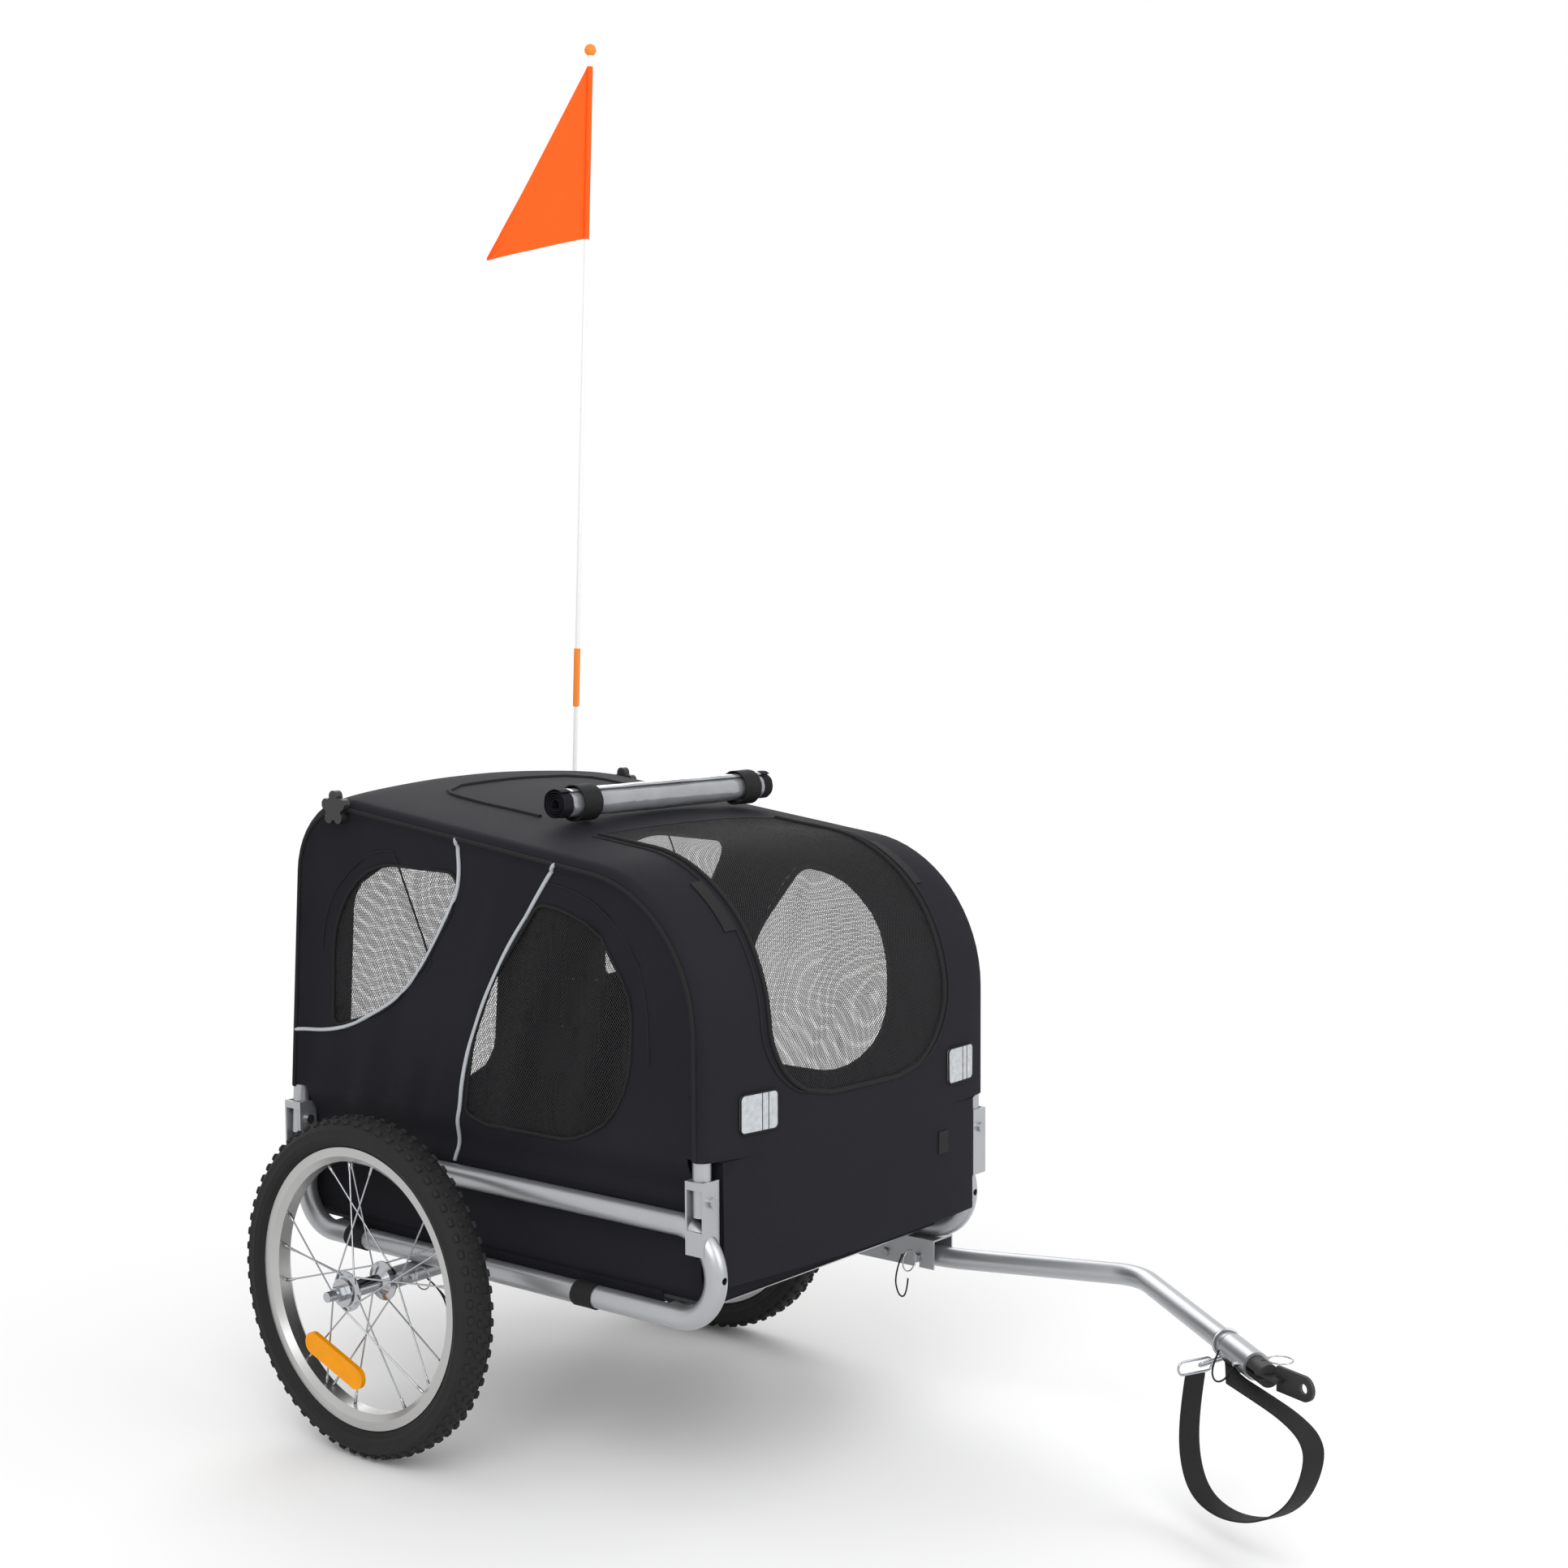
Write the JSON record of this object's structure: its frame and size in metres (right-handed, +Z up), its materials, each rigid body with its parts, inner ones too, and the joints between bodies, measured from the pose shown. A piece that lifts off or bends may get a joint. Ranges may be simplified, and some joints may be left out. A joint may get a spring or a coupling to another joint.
{
  "type": "dog bike trailer",
  "caption": "Two-wheeled folding dog trailer for a bicycle: tube frame, cloth cabin with mesh windows, roof hatch, lifting front door, tow arm with hitch plate and a safety flag.",
  "frame": {"origin": "ground level, half-way along and across the whole trailer", "axes": "+X forward to the bicycle, +Y left, +Z up"},
  "size_m": [1.2914, 0.73, 1.742],
  "materials": {
    "silver_paint": "satin silver paint",
    "zinc": "bright zinc plate",
    "hub_steel": "polished",
    "rim": "satin alloy",
    "tyre": "matt black rubber",
    "amber": "moulded amber prism",
    "cloth": "black coated woven cloth",
    "mesh": "black open mesh",
    "webbing": "black ribbed webbing",
    "board": "dark covered board",
    "silver_tab": "retroreflective silver",
    "clear_roll": "rolled clear sheet",
    "black_plastic": "fine grain black",
    "black_rubber": "matt",
    "black_steel": "black powder coat",
    "pole": "white glass-fibre rod",
    "orange_plastic": "orange moulding",
    "orange_cloth": "orange thin cloth"
  },
  "bodies": {
    "chassis": {"side_loop_right": "silver_paint", "side_loop_left": "silver_paint", "axle_tube": "silver_paint", "cross_tubes": "silver_paint", "wheel_axle_right": "zinc", "wheel_axle_left": "zinc", "hinge_brackets_right": "silver_paint", "hinge_brackets_left": "silver_paint", "frame_bolts": "zinc", "tow_channel": "silver_paint", "floor_board": "board", "lower_tub": "cloth", "floor_straps": "webbing", "front_panel": "cloth", "roof_panel": "cloth", "rear_panel": "cloth", "front_reflectors": "silver_tab", "rain_roll": "clear_roll", "roll_straps": "webbing", "flag_socket": "silver_paint", "pin_lanyards": "black_rubber"},
    "wheel_right": {"tyre_right": "tyre", "rim_right": "rim", "hub_right": "hub_steel", "spokes_right": "zinc", "bearings_right": "zinc", "wheel_reflector_right": "amber"},
    "wheel_left": {"tyre_left": "tyre", "rim_left": "rim", "hub_left": "hub_steel", "spokes_left": "zinc", "bearings_left": "zinc", "wheel_reflector_left": "amber"},
    "hoop_right": {"hoop_right": "silver_paint", "side_panel_right": "cloth", "side_mesh_right": "mesh"},
    "hoop_left": {"hoop_left": "silver_paint", "side_panel_left": "cloth", "side_mesh_left": "mesh"},
    "crossbar": {"crossbar": "rim"},
    "knob_right": {"knob_right": "black_plastic"},
    "knob_left": {"knob_left": "black_plastic"},
    "front_door": {"front_door": "cloth"},
    "roof_hatch": {"roof_hatch": "cloth"},
    "tow_arm": {"tow_bar": "silver_paint", "hitch_stub": "zinc", "hitch_sleeve": "silver_paint", "coupling_core": "black_rubber", "safety_strap": "webbing", "snap_hook": "hub_steel", "hitch_lanyard": "black_rubber"},
    "hitch": {"hitch_plate": "black_steel"},
    "axle_pin_right": {"wheel_lock_pin_right": "zinc"},
    "axle_pin_left": {"wheel_lock_pin_left": "zinc"},
    "tow_pin": {"tow_lock_pin": "zinc"},
    "hitch_pin": {"hitch_lock_pin": "zinc"},
    "flag": {"flag_poles": "pole", "pole_connector": "orange_plastic", "flag_ball": "orange_plastic", "pennant": "orange_cloth"}
  },
  "joints": [
    {"name": "wheel_right_spin", "type": "hinge", "parent": "chassis", "child": "wheel_right", "pos_m": [-0.38899, -0.308, 0.2], "axis": [0, 1, 0], "continuous": true},
    {"name": "wheel_left_spin", "type": "hinge", "parent": "chassis", "child": "wheel_left", "pos_m": [-0.38899, 0.308, 0.2], "axis": [0, 1, 0], "continuous": true},
    {"name": "fold", "type": "hinge", "parent": "chassis", "child": "hoop_right", "pos_m": [-0.38899, -0.233, 0.3573], "axis": [-1, 0, 0], "range_deg": [0, 88], "deforming": ["front_panel", "roof_panel", "rear_panel", "front_door", "roof_hatch", "side_panel_right", "side_mesh_right", "side_panel_left", "side_mesh_left"]},
    {"name": "fold_left", "type": "hinge", "parent": "chassis", "child": "hoop_left", "pos_m": [-0.38899, 0.233, 0.3573], "axis": [1, 0, 0], "range_deg": [0, 57.3], "deforming": ["front_panel", "roof_panel", "rear_panel", "front_door", "roof_hatch", "side_panel_right", "side_mesh_right", "side_panel_left", "side_mesh_left"]},
    {"name": "crossbar_drop", "type": "slide", "parent": "chassis", "child": "crossbar", "axis": [0, 0, -1], "range_m": [0, 0.47], "deforming": ["front_panel", "roof_panel", "rear_panel", "front_door", "roof_hatch", "side_panel_right", "side_mesh_right", "side_panel_left", "side_mesh_left"]},
    {"name": "knob_right_turn", "type": "hinge", "parent": "hoop_right", "child": "knob_right", "pos_m": [-0.49399, -0.233, 0.74613], "axis": [0, 1, 0], "continuous": true},
    {"name": "knob_left_turn", "type": "hinge", "parent": "hoop_left", "child": "knob_left", "pos_m": [-0.49399, 0.233, 0.74613], "axis": [0, 1, 0], "continuous": true},
    {"name": "front_door_open", "type": "hinge", "parent": "chassis", "child": "front_door", "pos_m": [-0.15099, 0, 0.72965], "axis": [0, -1, 0], "range_deg": [0, 80]},
    {"name": "roof_hatch_open", "type": "hinge", "parent": "chassis", "child": "roof_hatch", "pos_m": [-0.26099, 0, 0.7434], "axis": [0, 1, 0], "range_deg": [0, 90]},
    {"name": "tow_fold", "type": "hinge", "parent": "chassis", "child": "tow_arm", "pos_m": [-0.02499, 0.233, 0.1868], "axis": [0, 1, 0], "range_deg": [0, 165], "deforming": ["safety_strap", "pin_lanyards"]},
    {"name": "hitch_turn", "type": "hinge", "parent": "tow_arm", "child": "hitch", "pos_m": [0.56482, 0.06193, 0.19864], "axis": [0, 0, 1], "range_deg": [-40, 40], "stiffness_Nm_per_rad": 2, "deforming": ["safety_strap"]},
    {"name": "axle_pin_right_pull", "type": "slide", "parent": "chassis", "child": "axle_pin_right", "axis": [1, 0, 0], "range_m": [0, 0.045], "deforming": ["pin_lanyards"]},
    {"name": "axle_pin_left_pull", "type": "slide", "parent": "chassis", "child": "axle_pin_left", "axis": [1, 0, 0], "range_m": [0, 0.045], "deforming": ["pin_lanyards"]},
    {"name": "tow_pin_pull", "type": "slide", "parent": "tow_arm", "child": "tow_pin", "axis": [0, -1, 0], "range_m": [0, 0.055], "deforming": ["pin_lanyards"]},
    {"name": "hitch_pin_pull", "type": "slide", "parent": "tow_arm", "child": "hitch_pin", "axis": [0.617, 0.7869, 0], "range_m": [0, 0.04], "deforming": ["hitch_lanyard"]},
    {"name": "flag_lift", "type": "slide", "parent": "chassis", "child": "flag", "axis": [0.0471, 0, 0.9989], "range_m": [0, 0.04]}
  ],
  "couplings": [
    {"joint": "fold_left", "follows": "fold", "ratio": 0.65},
    {"joint": "crossbar_drop", "follows": "fold", "m_per_rad": 0.30536}
  ]
}
